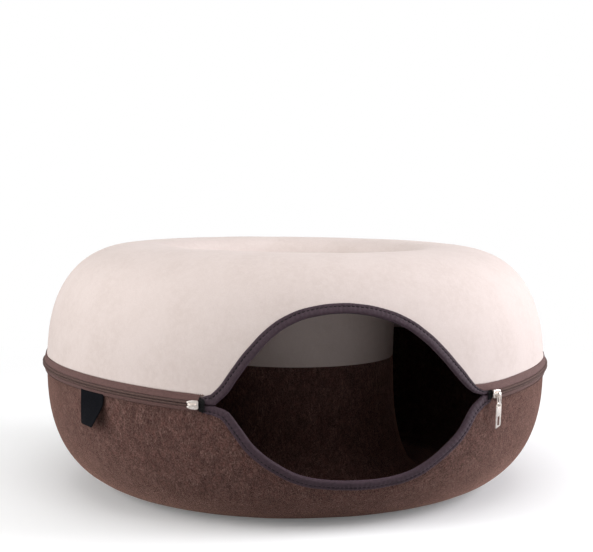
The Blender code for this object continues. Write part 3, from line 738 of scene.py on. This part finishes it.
def zip_stations(start, end):
    """Azimuths from the right corner round the back, closer together near both corners."""
    ends = TAPE_STATIONS // 8
    back = np.linspace(NEAR_CORNER, 360 - NEAR_CORNER, TAPE_STATIONS - 2 * ends + 2)[1:-1]
    return wrap(np.concatenate([np.linspace(start, NEAR_CORNER, ends), back,
                                np.linspace(360 - NEAR_CORNER, end, ends)]))


def tape_sides(azimuth, side):
    """Where the zip's tape starts and ends above or below the zip's middle."""
    if side < 0:
        return np.full_like(azimuth, TAPE_START), np.full_like(azimuth, LOWER_TAPE_END)
    # Beside the entrance the tape starts past the binding, and then drops back to the chain.
    beyond = felt_edge(azimuth, 1) - zip_height(azimuth) + binding_leg(azimuth, 1) + 0.3 * MM
    share = np.where(azimuth > 0, (31.2 - azimuth) / 0.9, (azimuth + 31.8) / 0.35)
    start = TAPE_START + (np.maximum(beyond, TAPE_START) - TAPE_START) * smoothstep(share)
    end = np.where(azimuth > 0, np.interp(azimuth, *RIGHT_TAPE_END) * MM, UPPER_TAPE_END)
    return start, np.maximum(end, start + 0.15 * MM)


def thread_row(name, path, pitch, length, radius, lie):
    """Threads along a path on the wall; lie gives their share across and along it."""
    spots = spaced(path, pitch, 0.6 * pitch)
    centres = sample(path, spots)
    ahead = sample(headings(path), spots)
    outward = outward_at(centres)
    direction = np.cross(outward, ahead) * lie[0] + ahead * lie[1]
    row = capsules(name, (centres, direction, outward), length, radius, BROWN_THREAD, 0.8)
    return row


def zip_tape(name, side, node, tips, ridge):
    """Zip tape on the felt's edge, with overlocked thread over its border and a sewing row."""
    azimuth = zip_stations(*tips)
    start, end = tape_sides(azimuth, side)
    middle = zip_height(azimuth)
    run = np.radians(np.mod(azimuth, 360)) * OUTER_RADIUS
    height, lift = [], []
    for across, up in TAPE_OUTLINE:
        wobble = (0.10 * MM * np.sin(run / (13 * MM) + 3 * across)
                  + 0.06 * MM * np.sin(run / (4.1 * MM)))
        height.append(middle + side * (start + (end - start) * across) + wobble * across)
        lift.append(np.full_like(run, 0.02 * MM) + up * ridge + (wobble * 0.6 if up > 0 else 0))
    sections = on_wall(azimuth[:, None], np.stack(height, 1), np.stack(lift, 1))
    piece = tube(name, sections, ZIP_TAPE)
    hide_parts(node)
    border = on_wall(azimuth, middle + side * end, 0.55 * ridge)
    overlock = thread_row(name + "_overlock", border, 2.2 * MM, 2.3 * MM, 0.33 * MM, (1, 0.4))
    line = on_wall(azimuth, middle + side * (end - 1.9 * MM), 0.76 * ridge + 0.02 * MM)
    sewing = thread_row(name + "_sewing", line, 2.9 * MM, 2.2 * MM, 0.22 * MM, (0, 1))


zip_tape("tape_upper", 1, "zip_tape_upper", UPPER_TAPE_TIPS, 1.45 * MM)
zip_tape("tape_lower", -1, "zip_tape_lower", LOWER_TAPE_TIPS, 2 * MM)


def zip_half(name, side):
    """One half of the closed zip; its ribs are the coil's turns under the folded tape."""
    azimuth = wrap(np.linspace(*LOWER_TAPE_TIPS, CHAIN_STATIONS))
    middle = zip_height(azimuth)
    rib = np.where(np.arange(CHAIN_STATIONS) % 2 == 0, 1, 0)
    height, lift = [], []
    for across, up in CHAIN_OUTLINE:
        height.append(middle + side * CHAIN_HALF * across)
        lift.append(0.05 * MM + CHAIN_DEPTH * up - 0.28 * MM * rib * (up > 0.4))
    sections = on_wall(azimuth[:, None], np.stack(height, 1), np.stack(lift, 1))
    piece = tube(name, sections, ZIP_COIL, sharp=80)
    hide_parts("zip_chain")


zip_half("zip_half_upper", 1)
zip_half("zip_half_lower", -1)


# ---- sliders and pull
NEARER = 0.4                            # degrees from the right slider's solid to the entrance
SLIDER_OUTLINE = (
    # shares of half the length and half the width
    (-1, 0), (-1, 0.62), (-0.93, 0.87), (-0.78, 0.98), (0.1, 1), (0.42, 0.93),
    (0.78, 0.80), (1, 0.64), (1, 0.30), (0.72, 0.22), (0.60, 0.12), (0.57, 0),
)
RIVETS = ((-0.50, 0.52), (-0.50, -0.52), (0.42, 0.50), (0.42, -0.50))
RIVET_RADIUS, RIVET_DEPTH, FLANGE_INSIDE, FLANGE_OUTSIDE, FLANGE_FOOT = mm(
    0.62, 0.55, 2.9, 4.42, 2)
PLATE_TOP = SLIDER_LIFT + SLIDER_PLATE


def slider_frame(middle):
    """Gives points from x towards the back, y up and lift off the wall at a slider."""
    def at(x, y, lift):
        azimuth = middle + (1 if middle > 0 else -1) * np.degrees(x / OUTER_RADIUS)
        return place(azimuth, OUTER_RADIUS + FLARE + lift, zip_height(middle) + y)
    return at


def solid(name, rings, closed=False):
    size = len(rings), len(rings[0])
    builder = bmesh.new()
    corners = [builder.verts.new(point) for ring in rings for point in ring]
    for face in grid(*size, closed=True) if closed else capped_tubes(1, *size):
        builder.faces.new([corners[index] for index in face])
    bmesh.ops.recalc_face_normals(builder, faces=builder.faces)
    mesh = bpy.data.meshes.new(name)
    builder.to_mesh(mesh)
    builder.free()
    mesh.materials.append(METAL)
    return add_object(name, mesh)


def prism(name, at, outline, low, high, level=lambda y: 0):
    """Plate with an outline of (x, y) points between two lifts over a level."""
    return solid(name, [[at(x, y, level(y) + lift) for x, y in outline] for lift in (low, high)])


def rectangle(left, right, low, high):
    return (left, low), (right, low), (right, high), (left, high)


def ellipse(x, y, across, up, count):
    angles = [2 * pi * k / count for k in range(count)]
    return [(x + across * cos(angle), y + up * sin(angle)) for angle in angles]


def rounded(piece, bevel, segments=2):
    rounding = piece.modifiers.new("rounding", "BEVEL")
    rounding.width, rounding.segments = bevel, segments
    rounding.angle_limit = radians(35)
    return piece


def cut(piece, cutters):
    for cutter in cutters:
        piece.modifiers.new("cut", "BOOLEAN").object = cutter
    return piece


def finish_metal(piece, node, cutters=()):
    """Applies the piece's modifiers, shades it and puts it on the model."""
    shown = piece.evaluated_get(bpy.context.evaluated_depsgraph_get())
    mesh = bpy.data.meshes.new_from_object(shown)
    piece.modifiers.clear()
    piece.data = mesh
    mesh.shade_smooth()
    mesh.set_sharp_from_angle(angle=radians(48))
    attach(piece, "root")
    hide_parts(node)
    for cutter in cutters:
        bpy.data.objects.remove(cutter)


def bar(name, at, path, width, thickness):
    """Flat bar along a path of (x, lift) points, width across y."""
    path = np.array(path)
    rings = []
    for (x, lift), (dx, dz) in zip(path, headings(path)):
        nx, nz = -dz * thickness / 2, dx * thickness / 2
        rings.append([at(x + over * nx, side * width / 2, lift + over * nz)
                      for over, side in ((1, -1), (1, 1), (-1, 1), (-1, -1))])
    return solid(name, rings)


def slider(name, middle, node):
    """Plate with rivet holes, flanges beside the chain, and a bail on two bosses."""
    at = slider_frame(middle)
    half = SLIDER_LENGTH / 2
    outline = [(x * half, y * SLIDER_HALF) for x, y in SLIDER_OUTLINE]
    outline += [(x, -y) for x, y in reversed(outline[1:-1])]
    plate = rounded(prism(name + "_plate", at, outline, SLIDER_LIFT, PLATE_TOP), 0.34 * MM, 3)
    holes = [prism(f"{name}_hole_{number}", at,
                   ellipse(x * half, y * SLIDER_HALF, RIVET_RADIUS, RIVET_RADIUS, 12),
                   PLATE_TOP - RIVET_DEPTH, PLATE_TOP + MM)
             for number, (x, y) in enumerate(RIVETS)]
    finish_metal(cut(plate, holes), node, holes)
    for sign, which in ((-1, "lower"), (1, "upper")):
        outline = ((-0.86 * half, sign * FLANGE_INSIDE), (0.30 * half, sign * FLANGE_INSIDE),
                   (0.34 * half, sign * FLANGE_OUTSIDE), (-0.82 * half, sign * FLANGE_OUTSIDE))
        flange = prism(f"{name}_flange_{which}", at, outline, FLANGE_FOOT, SLIDER_LIFT + 0.3 * MM)
        finish_metal(rounded(flange, 0.4 * MM, 3), node)
    reach, ceiling = BAIL_LENGTH / 2, PLATE_TOP + BAIL_EYE + BAIL_BAR / 2
    curve = [(-reach + 0.3 * MM, PLATE_TOP - 0.3 * MM), (-reach + 0.35 * MM, PLATE_TOP + 0.5 * MM),
             (-0.86 * reach, PLATE_TOP + 1.35 * MM), (-0.62 * reach, ceiling - 0.25 * MM),
             (-0.3 * reach, ceiling)]
    curve += [(-x, lift) for x, lift in reversed(curve)]
    bail = bar(name + "_bail", at, curve, BAIL_WIDTH, BAIL_BAR)
    finish_metal(rounded(bail, 0.26 * MM), node)
    for number, x in enumerate((-reach, reach)):
        boss = prism(f"{name}_boss_{number}", at, ellipse(x, 0, 1.25 * MM, 1.45 * MM, 14),
                     PLATE_TOP - 0.2 * MM, PLATE_TOP + 0.45 * MM)
        finish_metal(rounded(boss, 0.22 * MM), node)
    return at


LINK_BOTTOM = LINK_TOP - LINK_LENGTH + LINK_WALL        # inside of the link's lower end


def link_lift(y):
    """The link hangs nearly straight down from the bail."""
    return PLATE_TOP + BAIL_EYE + BAIL_BAR / 2 + 0.03 * y


def tab_lift(y):
    return link_lift(LINK_BOTTOM) + 0.05 * (y - LINK_BOTTOM)


def link_loop(grow):
    """Outline of the link seen from its side, as (y, lift) points."""
    radius, reach = LINK_DEPTH / 2 + grow, LINK_LENGTH / 2 - LINK_DEPTH / 2
    angles = [(end, pi * (step / 8 - 0.5) + start)
              for end, start in ((1, 0), (-1, pi)) for step in range(9)]
    return [(end * reach + radius * cos(angle), radius * sin(angle)) for end, angle in angles]


def pull(at):
    """Link round the bail, and the tab that hangs in it."""
    middle = LINK_TOP - LINK_LENGTH / 2
    half = LINK_WIDTH / 2
    outer, inner = link_loop(0), link_loop(-LINK_WALL)
    rings = [[at(x, middle + y, link_lift(middle + y) + z) for y, z in loop]
             for x, loop in ((-half, outer), (half, outer), (half, inner), (-half, inner))]
    link = rounded(solid("link", rings, closed=True), 0.2 * MM)
    opening = rectangle(-0.65 * MM, 0.65 * MM, middle - 3.5 * MM, middle + 3.5 * MM)
    slots = [prism("link_slot", at, opening, link_lift(middle) - LINK_DEPTH,
                   link_lift(middle) + LINK_DEPTH)]
    finish_metal(cut(link, slots), "pull_link", slots)

    eye_top = LINK_BOTTOM + 0.6 * MM
    top = eye_top + TAB_TOP_BAR
    bottom = top - TAB_LENGTH
    corners = ((-0.74, top), (-1, top - 1.6 * MM), (-1, bottom + 0.6 * MM), (-0.86, bottom),
               (0, bottom + 0.40 * TAB_SLANT), (0.90, bottom + 0.95 * TAB_SLANT),
               (1, bottom + 1.25 * TAB_SLANT), (1, top - 1.6 * MM), (0.74, top))
    outline = [(x * (TAB_WIDTH / 2), y) for x, y in corners]
    tab = prism("tab", at, outline, -TAB_THICKNESS / 2, TAB_THICKNESS / 2, tab_lift)
    window, slit = bottom + TAB_FOOT, TAB_WINDOW_WIDTH / 2
    eye = half + 0.3 * MM
    openings = (rectangle(-eye, eye, eye_top - TAB_EYE, eye_top),
                rectangle(-slit, slit, window, window + TAB_WINDOW_LENGTH))
    holes = [prism(f"tab_hole_{number}", at, opening, -3 * MM, 3 * MM, tab_lift)
             for number, opening in enumerate(openings)]
    # The holes are cut before the edges are rounded.
    finish_metal(rounded(cut(tab, holes), 0.25 * MM, 3), "pull_tab", holes)


slider("slider_body_left", SLIDER_LEFT, "slider_left")
pull(slider("slider_body_right", SLIDER_RIGHT - NEARER, "slider_right"))


# ---- label
COLUMNS = np.linspace(0, 1, 25)
PLY_ROWS = 30
PLY, PLY_GAP = mm(0.42, 0.36)
LABEL_STANDS = 0.6 * MM                 # of the folded ribbon's middle off the felt
LABEL_TAKEN_UP = 0.10                   # how much shorter its free side hangs
ABOVE_SEWING = -0.06                    # share of the drop that runs up under the tape


def label_top(azimuth):
    return zip_height(azimuth) - LOWER_TAPE_END - 0.3 * MM


def label_row(drop, lift):
    """Points across the ribbon at a share of its drop; its free side swings out."""
    chord = on_wall(LABEL_RIGHT, 0) - on_wall(LABEL_LEFT, 0)
    share = max(drop, 0)
    left = on_wall(LABEL_LEFT, label_top(LABEL_LEFT), LABEL_LIFT + LABEL_HANG * share)
    angle = np.arctan2(chord[1], chord[0]) - radians(LABEL_TWIST) * share ** LABEL_CURL
    across = np.array([cos(angle), sin(angle), 0])
    outward = np.array([sin(angle), -cos(angle), 0])
    azimuth = LABEL_LEFT + (LABEL_RIGHT - LABEL_LEFT) * COLUMNS
    hanging = on_wall(azimuth, label_top(azimuth), LABEL_LIFT)
    free = left + across * (np.linalg.norm(chord) * COLUMNS)[:, None]
    free[:, 2] = hanging[:, 2]
    blend = smoothstep(share / LABEL_FREE)
    line = hanging * (1 - blend) + free * blend
    bow = (0.8 * MM * np.sin(pi * COLUMNS) * share
           + 0.25 * MM * np.sin(9 * COLUMNS + 5 * share) * share)
    line = line + outward * (lift + bow)[:, None]
    line[:, 2] -= LABEL_DROP * drop * (1 - LABEL_TAKEN_UP * COLUMNS * share)
    return line


def label():
    """Ribbon folded in two and sewn under the tape's edge; its free end is twisted out."""
    # Down the front ply, round the fold and up the back ply.
    drops = np.concatenate([np.linspace(ABOVE_SEWING, 0.985, PLY_ROWS), [0.997, 1, 0.997],
                            np.linspace(0.985, ABOVE_SEWING, PLY_ROWS)])
    lifts = np.concatenate([np.full(PLY_ROWS, 0.5), [0.32, 0, -0.32], np.full(PLY_ROWS, -0.5)])
    lifts = lifts * (PLY + PLY_GAP) + LABEL_STANDS
    middle = np.array([label_row(drop, lift) for drop, lift in zip(drops, lifts)])
    normal = unit(np.cross(np.gradient(middle, axis=0), np.gradient(middle, axis=1)))
    thick = np.full(COLUMNS.shape, PLY / 2)
    thick[[0, -1]] *= 0.55
    thick[[1, -2]] *= 1.25              # selvedges
    over = normal * thick[:, None]
    sections = np.concatenate([middle + over, (middle - over)[:, ::-1]], 1)
    piece = tube("ribbon_label", sections, RIBBON, sharp=60)
    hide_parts("label")


label()


# ---- thread over the corners
STRAND_SIDES, STRAND_STATIONS = 8, 15


def strand(path, radius):
    """Rings of points round a path on the wall."""
    ahead = headings(path)
    normal = outward_at(path)
    normal -= ahead * np.sum(ahead * normal, 1, keepdims=True)
    side = np.cross(ahead, normal)
    angles = np.arange(STRAND_SIDES) * 2 * pi / STRAND_SIDES
    ring = (path[:, None] + side[:, None] * (radius * np.cos(angles))[:, None]
            + normal[:, None] * (radius * np.sin(angles))[:, None])
    return ring.reshape(-1, 3)


def bartack(name, start, end, node, strands, seed, reach_up, reach_down):
    """Thread over both bindings' ends: upright strands, with two across them."""
    random = np.random.default_rng(seed)
    share = np.linspace(-1, 1, STRAND_STATIONS)
    paths = []
    for number in range(strands):
        azimuth = start + (end - start) * (number + 0.5) / strands + random.uniform(-0.03, 0.03)
        low, high = np.array([reach_down, reach_up]) + random.uniform(-1.1, 0.8, 2) * MM
        height = zip_height(azimuth) + (high - low) / 2 + (low + high) / 2 * share
        lift = (FOLD + 0.75 * MM - 1.9 * MM * np.abs(share) ** 6
                + random.uniform(-0.12, 0.2) * MM)
        paths.append(on_wall(azimuth + 0.04 * np.sin(3 * share + number), height, lift))
    for up in (-0.45, 0.35):
        azimuth = (start + end) / 2 + (end - start) * 0.62 * share
        height = zip_height(azimuth) + BARTACK_HALF * up + 0.6 * MM * share
        paths.append(on_wall(azimuth, height, FOLD + 1.35 * MM - 1.3 * MM * np.abs(share) ** 6))
    radius = (end - start) / strands * pi / 180 * OUTER_RADIUS * 0.62
    points = [strand(path, radius) for path in paths]
    faces = capped_tubes(len(points), STRAND_STATIONS, STRAND_SIDES)
    piece = add_mesh(name, np.concatenate(points), faces, BLACK_THREAD)
    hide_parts(node)


bartack("thread_left", -31.6, -30.4, "bartack_left", 9, 4, *mm(6.8, 7.4))
bartack("thread_right", 29.3, 30.3, "bartack_right", 7, 7, *mm(4.5, 5.5))


# ---- floor, light and camera
WHITE = (1, 1, 1)
FLOOR_SIZE, FLOOR_BOUNCE, FLOOR_GLOW = 14, 0.45, 0.12
FLOOR_FADE = (0.45, 1.25)               # distances over which the floor turns white
WORLD = 0.265
LIGHTS = (
    # azimuth, elevation, distance, width and height, brightness on white, colour
    ("light_front_left", -50, 20, 2.4, (1.3, 1.3), 0.06, WHITE),
    ("light_left", -84, 18, 2.4, (1.5, 1.5), 0.60, WHITE),
    ("light_right", 76, 19, 2.4, (1.5, 1.5), 1.02, (1, 1, 1.045)),
    ("light_top", -8, 66, 2.6, (2.4, 2.4), 0.48, WHITE),
    ("light_back", 176, 6, 2.6, (1.6, 1.6), 0.24, WHITE),
)
LIGHT_AIM = Vector((0, 0, 0.14))
PHOTO_WIDTH, PHOTO_HEIGHT, SENSOR = 593, 552, 36
CAMERA_AZIMUTH, CAMERA_ELEVATION = radians(-13), radians(8.42)
CAMERA_DISTANCE, CAMERA_FOCAL = 1.506, 1233.2   # metres, and pixels of the photo
TARGET, TARGET_PIXEL = Vector((0, AXIS_Y, 0.137)), (295.1, 361.26)


def floor():
    """Pale floor that turns to the white backdrop; it throws little light back up."""
    finish = Finish("pale_floor", (0.93, 0.93, 0.93), 0.95, Specular_IOR_Level=0)
    out = finish.node("VectorMath", finish.place(), operation="LENGTH")
    far = finish.step(out, *FLOOR_FADE)
    glow = finish.node("Emission", WHITE, 1)
    dull = finish.node("BsdfDiffuse", (FLOOR_BOUNCE,) * 3)
    lit = finish.tree.nodes["Principled BSDF"].outputs[0]
    soft = finish.node("AddShader", lit, finish.node("Emission", WHITE, FLOOR_GLOW))
    seen = finish.node("MixShader", far, soft, glow)
    direct = finish.node("LightPath", output="Is Camera Ray")
    finish.show(finish.node("MixShader", direct, dull, seen), "Material Output")
    bpy.ops.mesh.primitive_plane_add(size=FLOOR_SIZE)
    sheet = bpy.context.active_object
    sheet.name = "floor"
    sheet.data.materials.append(finish.material)


def direction(azimuth, elevation):
    """Direction from the ring, from angles in radians."""
    return Vector((cos(elevation) * sin(azimuth), -cos(elevation) * cos(azimuth), sin(elevation)))


def softbox(name, azimuth, elevation, distance, size, strength, colour):
    """Area light; strength is the brightness of a white surface that faces it."""
    data = bpy.data.lights.new(name, "AREA")
    data.shape = "RECTANGLE"
    data.size, data.size_y = size
    data.energy = strength * pi * pi * distance * distance
    data.color = colour
    light = add_object(name, data)
    light.location = LIGHT_AIM + direction(radians(azimuth), radians(elevation)) * distance
    light.rotation_euler = (LIGHT_AIM - light.location).to_track_quat("-Z", "Y").to_euler()


def world():
    """Even studio light; the backdrop itself is white."""
    studio = bpy.data.worlds.new("studio")
    bpy.context.scene.world = studio
    wiring = Wiring(studio)
    light = wiring.tree.nodes["Background"]
    wiring.plug(light.inputs["Color"], WHITE)
    wiring.plug(light.inputs["Strength"], WORLD)
    backdrop = wiring.node("Background", WHITE)
    direct = wiring.node("LightPath", output="Is Camera Ray")
    mix = wiring.node("MixShader", direct, light.outputs[0], backdrop)
    wiring.show(mix, "World Output")


def camera():
    """Turned until the target is at its pixel."""
    data = bpy.data.cameras.new("camera")
    data.sensor_fit = "HORIZONTAL"
    data.sensor_width = SENSOR
    data.lens = CAMERA_FOCAL / PHOTO_WIDTH * SENSOR
    piece = add_object("camera", data)
    out = direction(CAMERA_AZIMUTH, CAMERA_ELEVATION)
    forward = -out
    right = forward.cross(Vector((0, 0, 1))).normalized()
    up = right.cross(forward)
    pitch = atan((TARGET_PIXEL[1] - PHOTO_HEIGHT / 2) / CAMERA_FOCAL)
    yaw = atan((TARGET_PIXEL[0] - PHOTO_WIDTH / 2) / CAMERA_FOCAL)
    tilted_up = up * cos(pitch) - forward * sin(pitch)
    ahead = forward * cos(pitch) + up * sin(pitch)
    side = right * cos(yaw) + ahead * sin(yaw)
    ahead = ahead * cos(yaw) - right * sin(yaw)
    matrix = Matrix((side, tilted_up, -ahead)).transposed().to_4x4()
    matrix.translation = TARGET + out * CAMERA_DISTANCE
    piece.matrix_world = matrix
    bpy.context.scene.camera = piece


floor()
camera()
world()
for light in LIGHTS:
    softbox(*light)
bpy.context.scene.view_settings.view_transform = "Standard"
